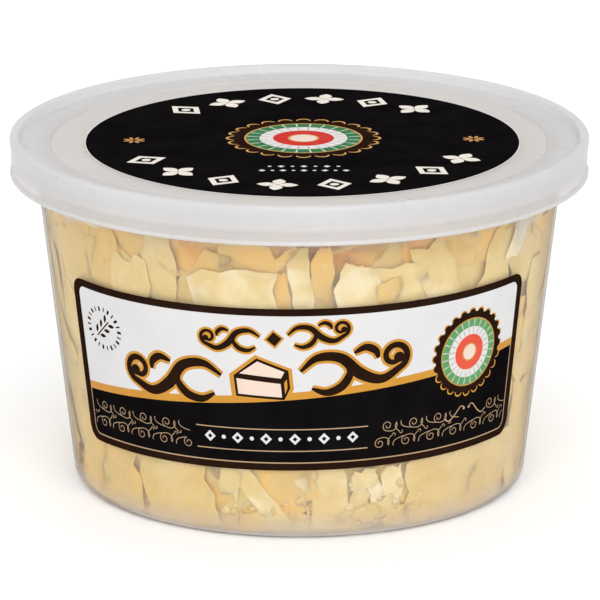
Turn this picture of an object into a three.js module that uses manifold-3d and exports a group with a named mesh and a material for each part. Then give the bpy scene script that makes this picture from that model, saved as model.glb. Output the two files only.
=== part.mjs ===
// A round deli tub of shaved parmesan: a tapered tub, a press-on lid with a raised crest,
// a paper label on each, and the heap of cheese shavings that fills the tub.
// Millimetres, +Z up, origin under the middle of the base. The printed front faces -Y.
import * as THREE from 'three';
import { mergeVertices } from 'three/addons/utils/BufferGeometryUtils.js';
import Module from 'manifold-3d';

const wasm = await Module();
wasm.setup();

// Driving dimensions.
const LID_RADIUS = 59.0;
const TOTAL_HEIGHT = 72.24;
const SKIRT_HEIGHT = 7.94;
const CREST_WIDTH = 2.0;
const RECESS_DEPTH = 1.64;
const PANEL_STEP = 0.35;
const PANEL_RADIUS = 50.5;
const PLASTIC = 0.8;
const GAP = 0.3;
const FACETS = 48;

const TUB_FOOT_RADIUS = 46.13;
const TUB_TAPER = 0.11465;
const TUB_FILLET = 3.0;
const FOOT_RING_RADIUS = 41.0;
const FOOT_HEIGHT = 0.9;
const RIM_RADIUS = 57.7;
const RIM_THICKNESS = 1.1;
const PLUG_RADIUS = 52.4;
const PLUG_DEPTH = 3.4;
const BEAD_DEPTH = 1.0;

const LABEL_THICKNESS = 0.3;
const LABEL_WIDTH = 105.8;
const LABEL_HEIGHT = 34.4;
const LABEL_CORNER = 3.0;
const LABEL_MIDDLE = new THREE.Vector2(-0.94, 32.375);
const LABEL_TILT = THREE.MathUtils.degToRad(0.65);
const LABEL_ROLL_RADIUS = 50.0;
const LID_LABEL_RADIUS = 44.4;
const LID_LABEL_OFFSET = 0.65;

const HEAP_TOP = 57.0;
const HEAP_INSET = 2.3;
const HEAP_BUMP = 0.5;
const HEAP_CROWN = 3.0;
const CROWN_BUMP = 2.0;
const SHAVING_THICKNESS = 1.3;
const SHAVING_LENGTH = [18, 28];
const SHAVING_WIDTH = [10, 17];
const WALL_CURL = [0.9, 1.8];
const TOP_CURL = [1.6, 3.1];
const TOP_LEAN = 0.45;
const TOP_PILE = 3.5;
const TOP_INSET = 8;
const WALL_ROWS = 6;
const WALL_PER_ROW = 11;
const TOP_SHAVINGS = 26;

const DOWN = -Math.PI / 2;
const FULL_TURN = 2 * Math.PI;

// Heights worked out from them.
const recessTop = TOTAL_HEIGHT - RECESS_DEPTH;
const panelTop = recessTop - PANEL_STEP;
const panelUnderside = panelTop - PLASTIC;
const recessUnderside = recessTop - PLASTIC;
const rimTop = recessUnderside - 0.4;
const rimUnderside = rimTop - RIM_THICKNESS;
const skirtBottom = TOTAL_HEIGHT - SKIRT_HEIGHT;
const plugBottom = panelUnderside - PLUG_DEPTH + PLASTIC;

const outerRadius = (z) => TUB_FOOT_RADIUS + TUB_TAPER * z;
const innerRadius = (z) => outerRadius(z) - PLASTIC;
const filletCentre = outerRadius(TUB_FILLET) - TUB_FILLET;

// A repeatable stream of numbers from 0 to 1.
function randomStream(seed) {
  let state = seed;
  return () => {
    state = (state + 0x6d2b79f5) | 0;
    let t = Math.imul(state ^ (state >>> 15), 1 | state);
    t = (t + Math.imul(t ^ (t >>> 7), 61 | t)) ^ t;
    return ((t ^ (t >>> 14)) >>> 0) / 4294967296;
  };
}

const between = (random, [low, high]) => low + (high - low) * random();

// Points [radius, height] of an arc, angles in degrees from the +radius direction.
function arc(radius, centre, from, to, steps) {
  return Array.from({ length: steps + 1 }, (_, i) => {
    const angle = THREE.MathUtils.degToRad(from + ((to - from) * i) / steps);
    return [centre[0] + radius * Math.cos(angle), centre[1] + radius * Math.sin(angle)];
  });
}

// A solid of revolution about Z. The profile runs up the outside and back down the inside.
function turned(profile) {
  const points = profile.map(([radius, height]) => new THREE.Vector2(radius, height));
  return new THREE.LatheGeometry(points, FACETS).rotateX(Math.PI / 2);
}

// The welded triangles of a geometry as a solid that can be joined and cut.
function solidOf(geometry) {
  const bare = geometry.clone();
  bare.deleteAttribute('normal');
  bare.deleteAttribute('uv');
  const welded = mergeVertices(bare, 1e-4);
  const index = welded.index.array;
  const triVerts = [];
  for (let i = 0; i < index.length; i += 3) {
    const [a, b, c] = [index[i], index[i + 1], index[i + 2]];
    if (a !== b && b !== c && c !== a) triVerts.push(a, b, c);
  }
  return new wasm.Manifold(
    new wasm.Mesh({
      numProp: 3,
      vertProperties: welded.attributes.position.array,
      triVerts: new Uint32Array(triVerts),
    }),
  );
}

function geometryOf(solid) {
  const mesh = solid.getMesh();
  const geometry = new THREE.BufferGeometry();
  geometry.setAttribute('position', new THREE.BufferAttribute(mesh.vertProperties, mesh.numProp));
  geometry.setIndex(new THREE.BufferAttribute(mesh.triVerts, 1));
  geometry.computeVertexNormals();
  return geometry;
}

// The one large body of a solid: loose scraps go, and a sealed hollow is filled.
function mainBody(solid) {
  return solid.decompose().reduce((best, body) => (body.volume() > best.volume() ? body : best));
}

// Triangles of a closed sheet: rows x columns points on face 0, the same again on face 1.
function sheetGeometry(rows, columns, pointAt) {
  const positions = [];
  const index = [];
  const at = (face, row, column) => (face * rows + row) * columns + column;
  for (const face of [0, 1]) {
    for (let row = 0; row < rows; row += 1) {
      for (let column = 0; column < columns; column += 1) {
        positions.push(...pointAt(row, column, face).toArray());
      }
    }
  }
  const quad = (a, b, c, d) => index.push(a, b, c, a, c, d);
  for (let row = 0; row + 1 < rows; row += 1) {
    for (let column = 0; column + 1 < columns; column += 1) {
      const near = [at(0, row, column), at(0, row, column + 1)];
      const far = [at(0, row + 1, column), at(0, row + 1, column + 1)];
      const shift = rows * columns;
      quad(near[0], near[1], far[1], far[0]);
      index.push(near[0] + shift, far[1] + shift, near[1] + shift);
      index.push(near[0] + shift, far[0] + shift, far[1] + shift);
    }
  }
  const rim = [];
  for (let column = 0; column + 1 < columns; column += 1) rim.push([0, column]);
  for (let row = 0; row + 1 < rows; row += 1) rim.push([row, columns - 1]);
  for (let column = columns - 1; column > 0; column -= 1) rim.push([rows - 1, column]);
  for (let row = rows - 1; row > 0; row -= 1) rim.push([row, 0]);
  rim.forEach(([row, column], i) => {
    const [nextRow, nextColumn] = rim[(i + 1) % rim.length];
    quad(at(1, row, column), at(1, nextRow, nextColumn), at(0, nextRow, nextColumn), at(0, row, column));
  });
  const geometry = new THREE.BufferGeometry();
  geometry.setAttribute('position', new THREE.Float32BufferAttribute(positions, 3));
  geometry.setIndex(index);
  geometry.computeVertexNormals();
  return geometry;
}

function cylindrical(angle, radius, height) {
  return new THREE.Vector3(radius * Math.cos(angle), radius * Math.sin(angle), height);
}

// Thin-walled tub: raised base, rounded foot, straight tapered wall, flange under the lid.
function tubGeometry() {
  const floorTop = FOOT_HEIGHT + PLASTIC;
  return turned([
    [0, FOOT_HEIGHT],
    [FOOT_RING_RADIUS - FOOT_HEIGHT, FOOT_HEIGHT],
    [FOOT_RING_RADIUS, 0],
    ...arc(TUB_FILLET, [filletCentre, TUB_FILLET], -90, 0, 4),
    [outerRadius(rimUnderside), rimUnderside],
    [RIM_RADIUS, rimUnderside],
    [RIM_RADIUS, rimTop],
    [innerRadius(rimTop), rimTop],
    ...arc(TUB_FILLET - PLASTIC, [filletCentre, TUB_FILLET], 0, -90, 3),
    [FOOT_RING_RADIUS + PLASTIC / 2, PLASTIC],
    [FOOT_RING_RADIUS + PLASTIC / 2 - FOOT_HEIGHT, floorTop],
    [0, floorTop],
  ]);
}

// Lid: flat panel, a raised band over the tub's rim, a crest and a straight skirt outside,
// and below it a plug ring inside the tub and a bead that snaps under the flange.
function lidGeometry() {
  const skirtInside = LID_RADIUS - PLASTIC;
  const beadHeight = rimUnderside - BEAD_DEPTH;
  const crestInside = LID_RADIUS - CREST_WIDTH;
  const edge = 0.6;
  return turned([
    [0, panelUnderside],
    [PLUG_RADIUS - PLASTIC, panelUnderside],
    [PLUG_RADIUS - PLASTIC, plugBottom],
    [PLUG_RADIUS, plugBottom],
    [PLUG_RADIUS, recessUnderside],
    [skirtInside, recessUnderside],
    [skirtInside, beadHeight + edge],
    [skirtInside - BEAD_DEPTH, beadHeight],
    [skirtInside, beadHeight - edge],
    [skirtInside, skirtBottom],
    [LID_RADIUS, skirtBottom],
    [LID_RADIUS, TOTAL_HEIGHT - edge],
    [LID_RADIUS - edge / 3, TOTAL_HEIGHT - edge / 3],
    [LID_RADIUS - edge, TOTAL_HEIGHT],
    [crestInside + edge, TOTAL_HEIGHT],
    [crestInside, TOTAL_HEIGHT - edge],
    [crestInside - edge / 3, recessTop],
    [PANEL_RADIUS + PANEL_STEP, recessTop],
    [PANEL_RADIUS, panelTop],
    [0, panelTop],
  ]);
}

// The space inside the shut tub, kept clear of its walls and of the lid.
function cavitySolid() {
  const floor = FOOT_HEIGHT + PLASTIC + GAP;
  const wall = (z) => innerRadius(z) - GAP;
  const shoulder = plugBottom - GAP;
  const plugInside = PLUG_RADIUS - PLASTIC - GAP;
  return solidOf(
    turned([
      [0, floor],
      [filletCentre + 1, floor],
      [wall(TUB_FILLET) - 0.3, TUB_FILLET],
      [wall(2 * TUB_FILLET), 2 * TUB_FILLET],
      [wall(shoulder), shoulder],
      [plugInside, shoulder],
      [plugInside, panelUnderside - GAP],
      [0, panelUnderside - GAP],
    ]),
  );
}

// Slow bumps over the heap, a sum of sines in angle and height, -1 to 1.
function bump(angle, height) {
  const broad = Math.sin(5 * angle + 0.11 * height) * Math.cos(3 * angle - 0.19 * height);
  const fine = Math.sin(11 * angle + 0.37 * height + 1.3);
  return 0.6 * broad + 0.4 * fine;
}

// The heap's core: rings of points from the floor up the wall and over the uneven top.
function heapCore() {
  const wallHeights = [2, 9, 17, 25, 33, 41, 49, HEAP_TOP];
  const topShares = [0.82, 0.55, 0.28];
  const rings = [
    ...wallHeights.map((z) => (angle) => {
      const radius = innerRadius(z) - HEAP_INSET + HEAP_BUMP * bump(angle, z);
      return cylindrical(angle, radius, z);
    }),
    ...topShares.map((share) => (angle) => {
      const radius = share * innerRadius(HEAP_TOP);
      return cylindrical(angle, radius, HEAP_TOP + HEAP_CROWN + CROWN_BUMP * bump(angle, 40 * share));
    }),
  ];
  const positions = [0, 0, wallHeights[0]];
  const index = [];
  rings.forEach((ring) => {
    for (let i = 0; i < FACETS; i += 1) positions.push(...ring((FULL_TURN * i) / FACETS).toArray());
  });
  positions.push(0, 0, HEAP_TOP + HEAP_CROWN);
  const last = rings.length * FACETS + 1;
  for (let i = 0; i < FACETS; i += 1) {
    const next = (i + 1) % FACETS;
    index.push(0, 1 + next, 1 + i);
    for (let ring = 0; ring + 1 < rings.length; ring += 1) {
      const low = 1 + ring * FACETS;
      const high = low + FACETS;
      index.push(low + i, low + next, high + next, low + i, high + next, high + i);
    }
    index.push(last - FACETS + i, last - FACETS + next, last);
  }
  const geometry = new THREE.BufferGeometry();
  geometry.setAttribute('position', new THREE.Float32BufferAttribute(positions, 3));
  geometry.setIndex(index);
  return geometry;
}

// One shaving: a thin curled strip with ragged ends. toWorld(u, v, depth) places a point
// u along it, v across it and depth behind its outer face.
function shavingGeometry(random, length, width, curl, toWorld) {
  const rows = 2;
  const columns = 4;
  const ragged = Array.from({ length: rows * columns }, () => random() - 0.5);
  return sheetGeometry(rows, columns, (row, column, face) => {
    const along = column / (columns - 1) - 0.5;
    const across = row / (rows - 1) - 0.5;
    const jitter = ragged[row * columns + column];
    const atEnd = column === 0 || column === columns - 1;
    const u = along * length + (atEnd ? 0.22 * length * jitter : 0);
    const v = across * width * (1 + 0.35 * jitter);
    const bend = curl * (4 * along * along + 0.5 * jitter + 0.4);
    return toWorld(u, v, bend + face * SHAVING_THICKNESS);
  });
}

// Shavings that stand against the tub's wall, in staggered rows.
function wallShavings(random) {
  const pieces = [];
  const firstRow = 6.5;
  const rowStep = (HEAP_TOP - firstRow) / (WALL_ROWS - 1);
  for (let row = 0; row < WALL_ROWS; row += 1) {
    for (let i = 0; i < WALL_PER_ROW; i += 1) {
      const middle = ((i + 0.5 * (row % 2) + 0.5 * random()) * FULL_TURN) / WALL_PER_ROW;
      const height = firstRow + rowStep * (row + 0.6 * (random() - 0.5));
      const spin = Math.PI * random();
      const tilt = 0.1 * (random() - 0.5);
      const length = between(random, SHAVING_LENGTH);
      const width = between(random, SHAVING_WIDTH);
      const curl = between(random, WALL_CURL);
      const toWorld = (u, v, depth) => {
        const sideways = u * Math.cos(spin) - v * Math.sin(spin);
        const z = height + u * Math.sin(spin) + v * Math.cos(spin);
        const radius = innerRadius(z) - GAP - depth - Math.abs(tilt * v + tilt * u);
        return cylindrical(middle + sideways / innerRadius(z), radius, z);
      };
      pieces.push(shavingGeometry(random, length, width, curl, toWorld));
    }
  }
  return pieces;
}

// Shavings lying loosely over the top of the heap, a golden-angle spread.
function topShavings(random) {
  const goldenAngle = Math.PI * (3 - Math.sqrt(5));
  return Array.from({ length: TOP_SHAVINGS }, (_, i) => {
    const reach = innerRadius(HEAP_TOP) - TOP_INSET;
    const angle = i * goldenAngle;
    const radius = reach * Math.sqrt((i + 0.5) / TOP_SHAVINGS);
    const leanX = between(random, [-TOP_LEAN, TOP_LEAN]);
    const leanY = between(random, [-TOP_LEAN, TOP_LEAN]);
    const lean = new THREE.Euler(leanX, leanY, Math.PI * random());
    const middle = cylindrical(angle, radius, HEAP_TOP + TOP_PILE * (1 + random()));
    const toWorld = (u, v, depth) => new THREE.Vector3(u, v, -depth).applyEuler(lean).add(middle);
    const length = between(random, SHAVING_LENGTH);
    const width = between(random, SHAVING_WIDTH);
    return shavingGeometry(random, length, width, between(random, TOP_CURL), toWorld);
  });
}

// Core and shavings joined into one body that fits the shut tub.
function heapGeometry() {
  const random = randomStream(41);
  const shavings = [...wallShavings(random), ...topShavings(random)];
  const joined = shavings.reduce((heap, piece) => heap.add(solidOf(piece)), solidOf(heapCore()));
  return geometryOf(mainBody(joined.intersect(cavitySolid())));
}

// Wrap-round paper label: a thin plate with rounded corners that follows the tapered wall.
function frontLabelGeometry() {
  const halfWidth = LABEL_WIDTH / 2;
  const halfHeight = LABEL_HEIGHT / 2;
  const straight = halfWidth - LABEL_CORNER;
  const steps = 22;
  const right = arc(LABEL_CORNER, [straight, halfHeight - LABEL_CORNER], 90, 0, 4);
  const left = right.map(([u, v]) => [-u, v]).reverse();
  const between = Array.from({ length: steps - 1 }, (_, i) => {
    return [-straight + (2 * straight * (i + 1)) / steps, halfHeight];
  });
  const columns = [...left, ...between, ...right];
  return sheetGeometry(2, columns.length, (row, column, face) => {
    const [u, half] = columns[column];
    const v = row === 0 ? -half : half;
    const x = LABEL_MIDDLE.x + u * Math.cos(LABEL_TILT) - v * Math.sin(LABEL_TILT);
    const z = LABEL_MIDDLE.y + u * Math.sin(LABEL_TILT) + v * Math.cos(LABEL_TILT);
    const radius = outerRadius(z) + GAP + (1 - face) * LABEL_THICKNESS;
    return cylindrical(DOWN + x / LABEL_ROLL_RADIUS, radius, z);
  });
}

// Round paper label lying in the lid's panel.
function lidLabelGeometry() {
  const underside = panelTop + GAP;
  const disc = turned([
    [0, underside],
    [LID_LABEL_RADIUS, underside],
    [LID_LABEL_RADIUS, underside + LABEL_THICKNESS],
    [0, underside + LABEL_THICKNESS],
  ]);
  return disc.translate(LID_LABEL_OFFSET, 0, 0);
}

function named(name, geometry, color, roughness) {
  const material = new THREE.MeshStandardMaterial({ color, roughness, metalness: 0 });
  const mesh = new THREE.Mesh(geometry, material);
  mesh.name = name;
  return mesh;
}

const pack = new THREE.Group();
pack.add(
  named('tub', tubGeometry(), 0xe6e4e0, 0.35),
  named('lid', lidGeometry(), 0xdcdad8, 0.4),
  named('parmesan', heapGeometry(), 0xeeda9f, 0.6),
  named('front_label', frontLabelGeometry(), 0xe6e4e4, 0.5),
  named('lid_label', lidLabelGeometry(), 0x16120f, 0.45),
);

export default pack;
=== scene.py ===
"""A deli tub of shaved parmesan: clear tub, milky lid, two printed labels and the shavings inside.

Lengths are millimetres, and mesh_object turns them into metres. The tub's printed front faces -Y.
x on the wall is the distance round it from the middle of the front, at a radius of WRAP_RADIUS.
"""
from math import atan, cos, pi, radians, sin, sqrt

import bmesh
import bpy
import numpy as np
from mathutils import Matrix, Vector
from mathutils.geometry import delaunay_2d_cdt


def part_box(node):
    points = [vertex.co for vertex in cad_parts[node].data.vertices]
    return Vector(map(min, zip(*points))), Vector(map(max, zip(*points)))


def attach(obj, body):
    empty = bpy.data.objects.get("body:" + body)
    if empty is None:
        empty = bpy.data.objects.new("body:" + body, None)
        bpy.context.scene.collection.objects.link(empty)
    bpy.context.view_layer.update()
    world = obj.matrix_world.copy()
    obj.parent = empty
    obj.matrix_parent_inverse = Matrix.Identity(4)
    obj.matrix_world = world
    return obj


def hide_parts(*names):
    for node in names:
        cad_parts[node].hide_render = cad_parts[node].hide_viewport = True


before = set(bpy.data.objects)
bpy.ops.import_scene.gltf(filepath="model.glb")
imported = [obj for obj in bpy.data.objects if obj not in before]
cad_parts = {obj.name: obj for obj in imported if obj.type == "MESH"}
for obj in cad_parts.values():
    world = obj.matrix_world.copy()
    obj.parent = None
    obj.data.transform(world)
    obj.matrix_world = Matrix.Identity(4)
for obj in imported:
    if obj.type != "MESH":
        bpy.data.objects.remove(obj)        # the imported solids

MM = 0.001
SCENE = bpy.context.scene
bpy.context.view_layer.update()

# ---------------- dimensions, from the frame


def node_box(node):
    """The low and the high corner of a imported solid, in millimetres."""
    low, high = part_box(node)
    return [value / MM for value in low], [value / MM for value in high]


LID_LOW, LID_HIGH = node_box("lid")
TUB_HIGH = node_box("tub")[1]
LID_LABEL_LOW, LID_LABEL_HIGH = node_box("lid_label")

LID_RADIUS = LID_HIGH[0]
LID_TOP = LID_HIGH[2]
SKIRT_BOTTOM = LID_LOW[2]
RIM_RADIUS = TUB_HIGH[0]
RIM_TOP = TUB_HIGH[2]

WALL = 0.5              # the tub's plastic
WALL_HEIGHTS = (20, 40)
FOOT_RADIUS = 46.13     # where the tapered wall would meet the floor
TAPER = 0.11465         # growth of the radius for each millimetre of height
FOOT_FILLET = 3.0
FOOT_RING = 41.0
FOOT_RISE = 0.9
RIM_THICKNESS = 1.1
RIM_EDGE = 0.4
MOUTH_EDGE = 0.5

PLASTIC = 0.8           # the lid's plastic
RECESS_DEPTH = 1.64
PANEL_STEP = 0.35
PANEL_RADIUS = 50.5
CREST_WIDTH = 2.0
CREST_EDGE = 0.5
CREST_FOOT = 0.6
CREST_SLOPE = 0.9
PANEL_EDGE = 0.5
TOP_EDGE = 0.7
SHOULDER = (2.0, 3.2)   # below the top: where the skirt starts to step back, and has done so
SKIRT_STEP = (0.1, 0.3)
LIP = 0.45
SNAP_BEAD = 0.7
PLUG_RADIUS = 52.4
PLUG_BOTTOM = SKIRT_BOTTOM + 2.55
RECESS_TOP = LID_TOP - RECESS_DEPTH
PANEL_TOP = RECESS_TOP - PANEL_STEP
PANEL_UNDER = PANEL_TOP - PLASTIC
RECESS_UNDER = RECESS_TOP - PLASTIC

WRAP_RADIUS = 50.0
LABEL_CENTRE = (-0.94, 32.4)    # x and z on the wall; the other label sizes count from here
LABEL_LEFT, LABEL_RIGHT = -52.35, 53.15
LABEL_LOW, LABEL_HIGH = -17.2, 17.25
LABEL_CORNER = 3.0
BORDER_LEFT, BORDER_RIGHT, BORDER = 2.2, 1.85, 1.5
LABEL_TILT = radians(0.72)
FIELD_LEFT, FIELD_RIGHT = LABEL_LEFT + BORDER_LEFT, LABEL_RIGHT - BORDER_RIGHT
FIELD_LOW, FIELD_HIGH = LABEL_LOW + BORDER, LABEL_HIGH - BORDER
FIELD_CORNER = LABEL_CORNER - 1.2
STRIPE_RISE = 0.0805    # the gold stripe climbs to the right
STRIPE_TOP, STRIPE_BOTTOM = -0.41, -2.0
TITLE_OUTLINE = 1.1     # growth of the gold shapes behind the dark title ones
PAPER = 0.12
GLUE = 0.03

LID_LABEL_RADIUS = (LID_LABEL_HIGH[0] - LID_LABEL_LOW[0]) / 2
LID_LABEL_X = (LID_LABEL_HIGH[0] + LID_LABEL_LOW[0]) / 2

TURN = 2 * pi
SEGMENTS = 240          # facets round the tub and the lid


def outer_radius(z):
    return FOOT_RADIUS + TAPER * z


def inner_radius(z):
    return outer_radius(z) - WALL


FILLET_CENTRE = outer_radius(FOOT_FILLET) - FOOT_FILLET

# ---------------- small helpers


def srgb(red, green, blue):
    """A linear colour from the 0-255 values of a screen colour."""
    def linear(value):
        value /= 255
        return value / 12.92 if value <= 0.04045 else ((value + 0.055) / 1.055) ** 2.4
    return (linear(red), linear(green), linear(blue), 1.0)


def on_circle(centre, radius, angle):
    return (centre[0] + radius * cos(angle), centre[1] + radius * sin(angle))


def arc(centre, radius, start, end, steps):
    """Points of an arc, angles in degrees."""
    return [on_circle(centre, radius, a) for a in np.radians(np.linspace(start, end, steps + 1))]


def round_the_wall(x, z, radius):
    """The point at a radius from the axis, x round the front and z up."""
    return (*on_circle((0, 0), radius, x / WRAP_RADIUS - pi / 2), z)


def around_axis(radius, angles, heights):
    """Many points at a radius from the axis, as an array of x, y and z."""
    heights = np.broadcast_to(heights, angles.shape)
    return np.stack([radius * np.cos(angles), radius * np.sin(angles), heights], axis=-1)


def turned(points, origin, angle, scale=1.0, mirror=1):
    """Flat points scaled, mirrored left to right, turned and moved to an origin."""
    c, s = cos(angle), sin(angle)
    out = []
    for x, y in points:
        x, y = mirror * x * scale, y * scale
        out.append((origin[0] + x * c - y * s, origin[1] + x * s + y * c))
    return out


def mesh_object(name, points, faces, materials, slots=None, sharp=35.0):
    """An object with its points in millimetres, shaded smooth except across sharp edges."""
    mesh = bpy.data.meshes.new(name)
    mesh.from_pydata([tuple(p) for p in np.asarray(points, dtype=float) * MM], [], faces)
    for material in materials:
        mesh.materials.append(material)
    if slots is not None:
        mesh.polygons.foreach_set("material_index", slots)
    mesh.polygons.foreach_set("use_smooth", [True] * len(mesh.polygons))
    mesh.set_sharp_from_angle(angle=radians(sharp))
    mesh.update()
    piece = bpy.data.objects.new(name, mesh)
    SCENE.collection.objects.link(piece)
    return piece


def lathe(name, profile, materials, last_ring=0):
    """A solid of revolution: the profile runs up the outside and back down the inside.

    last_ring is the slot of the material on the faces between the profile's last two points.
    """
    points = []
    rings = []
    for radius, height in profile:
        corners = 1 if radius == 0 else SEGMENTS
        rings.append(range(len(points), len(points) + corners))
        points += [(*on_circle((0, 0), radius, TURN * i / SEGMENTS), height) for i in range(corners)]
    faces = []
    for low, high in zip(rings, rings[1:]):
        for i in range(SEGMENTS):
            j = (i + 1) % SEGMENTS
            if len(low) == 1:
                faces.append((low[0], high[j], high[i]))
            elif len(high) == 1:
                faces.append((low[i], low[j], high[0]))
            else:
                faces.append((low[i], low[j], high[j], high[i]))
    slots = [0] * (len(faces) - SEGMENTS) + [last_ring] * SEGMENTS
    return mesh_object(name, points, faces, materials, slots)


class Nodes:
    """A material's node tree with short ways to add and join nodes."""

    def __init__(self, name):
        self.material = bpy.data.materials.new(name)
        self.material.use_nodes = True
        self.tree = self.material.node_tree
        self.tree.nodes.clear()
        self.output = self.add("OutputMaterial")

    def add(self, kind, inputs=None, **settings):
        node = self.tree.nodes.new("ShaderNode" + kind)
        for key, value in settings.items():
            setattr(node, key, value)
        self.feed(node, inputs or {})
        return node

    def feed(self, node, inputs):
        """Sets inputs, named or numbered, to a constant, or joins them to another node's output."""
        for key, value in inputs.items():
            if isinstance(value, bpy.types.NodeSocket):
                self.tree.links.new(value, node.inputs[key])
            else:
                node.inputs[key].default_value = value

    def finish(self, shader):
        self.feed(self.output, {"Surface": shader.outputs[0]})
        return self.material

    def place(self):
        return self.add("TexCoord").outputs["Object"]

    def attribute(self, name):
        return self.add("Attribute", attribute_name=name, attribute_type="GEOMETRY").outputs["Fac"]

    def noise(self, place, scale, detail=3.0, roughness=0.55):
        inputs = {"Vector": place, "Scale": scale, "Detail": detail, "Roughness": roughness}
        return self.add("TexNoise", inputs).outputs["Fac"]

    def ramp(self, value, stops):
        node = self.add("ValToRGB", {"Fac": value})
        elements = node.color_ramp.elements
        while len(elements) < len(stops):
            elements.new(0.5)
        for element, (position, colour) in zip(elements, stops):
            element.position = position
            element.color = colour
        return node.outputs["Color"]

    def spread(self, value, low, high, from_low=0.3, from_high=0.7):
        """The range from_low to from_high mapped to low to high, and held there outside it."""
        inputs = {"Value": value, "From Min": from_low, "From Max": from_high, "To Min": low, "To Max": high}
        return self.add("MapRange", inputs).outputs["Result"]

    def math(self, operation, *values):
        return self.add("Math", dict(enumerate(values)), operation=operation).outputs["Value"]

    def vector(self, operation, *values):
        return self.add("VectorMath", dict(enumerate(values)), operation=operation)

    def bump(self, height, distance, strength, normal=None):
        inputs = {"Height": height, "Distance": distance * MM, "Strength": strength}
        if normal is not None:
            inputs["Normal"] = normal
        return self.add("Bump", inputs).outputs["Normal"]

    def uneven(self, place, scale, roughness):
        """Roughness that varies a little over the surface."""
        return self.spread(self.noise(place, scale), roughness * 0.85, roughness * 1.2)


# ---------------- materials

GLOW_SHARE = 0.42       # of the light that milky plastic scatters, the share that shines through
# Colour of the cheese by tone, from pale to golden. The bright golden stop at 0.75 and the deep end are
# partly painted warm light and shade, for pieces in the shade of the lid.
CHEESE_TONES = ((0.0, (236, 220, 178)), (0.07, (232, 211, 156)), (0.16, (224, 198, 131)),
                (0.45, (215, 182, 104)), (0.75, (236, 188, 92)), (1.0, (224, 162, 76)))
CRYSTAL_COLOUR = srgb(246, 230, 186)


def plastic_material(name, colour, haze, edge_haze, roughness, cloud, bands=(), glare_spots=(), edge_tint=1.0):
    """Milky polypropylene: part of the light goes straight through, the rest is scattered.

    haze is the share scattered face on, edge_haze the share where the wall is seen edge on,
    cloud how much that varies, bands what is added between two heights, glare_spots the painted
    glare added about a few points, and edge_tint what a long path through the wall lets by.
    """
    n = Nodes(name)
    place = n.place()
    tint = n.ramp(n.noise(place, 22.0, 2.0), [(0.3, srgb(*colour[0])), (0.7, srgb(*colour[1]))])
    inputs = {"Roughness": roughness, "IOR": 1.49, "Specular IOR Level": 0.5}
    solid = n.add("BsdfPrincipled", inputs)
    ripple = n.bump(n.noise(place, 90.0, 1.0), 0.03, 0.4)
    n.feed(solid, {"Base Color": tint, "Normal": ripple, "Roughness": n.uneven(place, 60.0, roughness)})
    glow = n.add("BsdfTranslucent", {"Color": tint})
    milk = n.add("MixShader", {"Fac": GLOW_SHARE, 1: solid.outputs[0], 2: glow.outputs[0]})
    facing = n.add("LayerWeight", {"Blend": 0.5}).outputs["Facing"]
    share = n.math("MULTIPLY_ADD", n.math("POWER", facing, 3.0), edge_haze - haze, haze)
    total = n.math("ADD", share, n.spread(n.noise(place, 35.0, 2.0), -cloud, cloud))
    height = n.add("SeparateXYZ", {"Vector": place}).outputs["Z"]
    for low, high, at_low, at_high in bands:
        total = n.math("ADD", total, n.spread(height, at_low, at_high, low * MM, high * MM))
    # Painted glare: haze added about a few points, so that the wall shows pale patches like glints.
    for point, flatness, reach, amount in glare_spots:
        offset = n.vector("SUBTRACT", place, [value * MM for value in point]).outputs["Vector"]
        away = n.vector("LENGTH", n.vector("MULTIPLY", offset, flatness).outputs["Vector"]).outputs["Value"]
        near = n.spread(away, 1.0, 0.0, 0.35 * reach * MM, reach * MM)
        torn = n.spread(n.noise(place, 190.0, 2.0), 0.0, amount, 0.36, 0.52)
        total = n.math("ADD", total, n.math("MULTIPLY", near, torn))
    total.node.use_clamp = True
    clear = n.add("BsdfTransparent")
    if edge_tint < 1.0:
        grey = (edge_tint, 0.97 * edge_tint, 0.93 * edge_tint, 1.0)
        n.feed(clear, {"Color": n.ramp(facing, [(0.7, (1, 1, 1, 1)), (0.96, grey)])})
    return n.finish(n.add("MixShader", {"Fac": total, 1: clear.outputs[0], 2: milk.outputs[0]}))


def cheese_material(name, glow, depth, relief):
    """Hard cheese: per-shaving tone, faint drag lines, grain and pale crystals.

    glow is how much light runs under the surface, depth how far in millimetres.
    """
    n = Nodes(name)
    place = n.place()
    mixed = n.math("ADD", n.attribute("tone"), n.spread(n.noise(place, 110.0, 4.0), -0.2, 0.2))
    tones = [(position, srgb(*colour)) for position, colour in CHEESE_TONES]
    speck = n.spread(n.noise(place, 900.0, 2.0, 0.5), 0.0, 0.2, 0.58, 0.72)
    inputs = {"Factor": speck, "A": n.ramp(mixed, tones), "B": CRYSTAL_COLOUR}
    colour = n.add("Mix", inputs, data_type="RGBA").outputs["Result"]
    lines = n.add("TexNoise", {"W": n.attribute("drag"), "Detail": 2.0}, noise_dimensions="1D")
    ridges = n.bump(lines.outputs["Fac"], 0.09, 0.35 * relief)
    dents = n.bump(n.noise(place, 260.0, 3.0, 0.5), 0.35, 0.6 * relief, ridges)
    grain = n.bump(n.noise(place, 700.0, 2.0, 0.5), 0.08, 0.35 * relief, dents)
    return n.finish(n.add("BsdfPrincipled", {
        "Base Color": colour, "Normal": grain, "Roughness": n.spread(n.noise(place, 300.0), 0.42, 0.62),
        "IOR": 1.45, "Specular IOR Level": 0.35, "Subsurface Weight": glow,
        "Subsurface Radius": (0.6, 0.8, 1.1), "Subsurface Scale": depth * MM}))


def ink_material(name, first, second, roughness=0.5, shine=0.2):
    """Coated paper or print: two close colours in soft mottle over a faint paper grain."""
    n = Nodes(name)
    place = n.place()
    body = n.add("BsdfPrincipled", {"Roughness": roughness, "Specular IOR Level": shine})
    mottle = n.ramp(n.noise(place, 140.0), [(0.35, srgb(*first)), (0.65, srgb(*second))])
    grain = n.bump(n.noise(place, 1800.0, 2.0), 0.015, 0.4)
    n.feed(body, {"Base Color": mottle, "Normal": grain, "Roughness": n.uneven(place, 500.0, roughness)})
    return n.finish(body)


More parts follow.
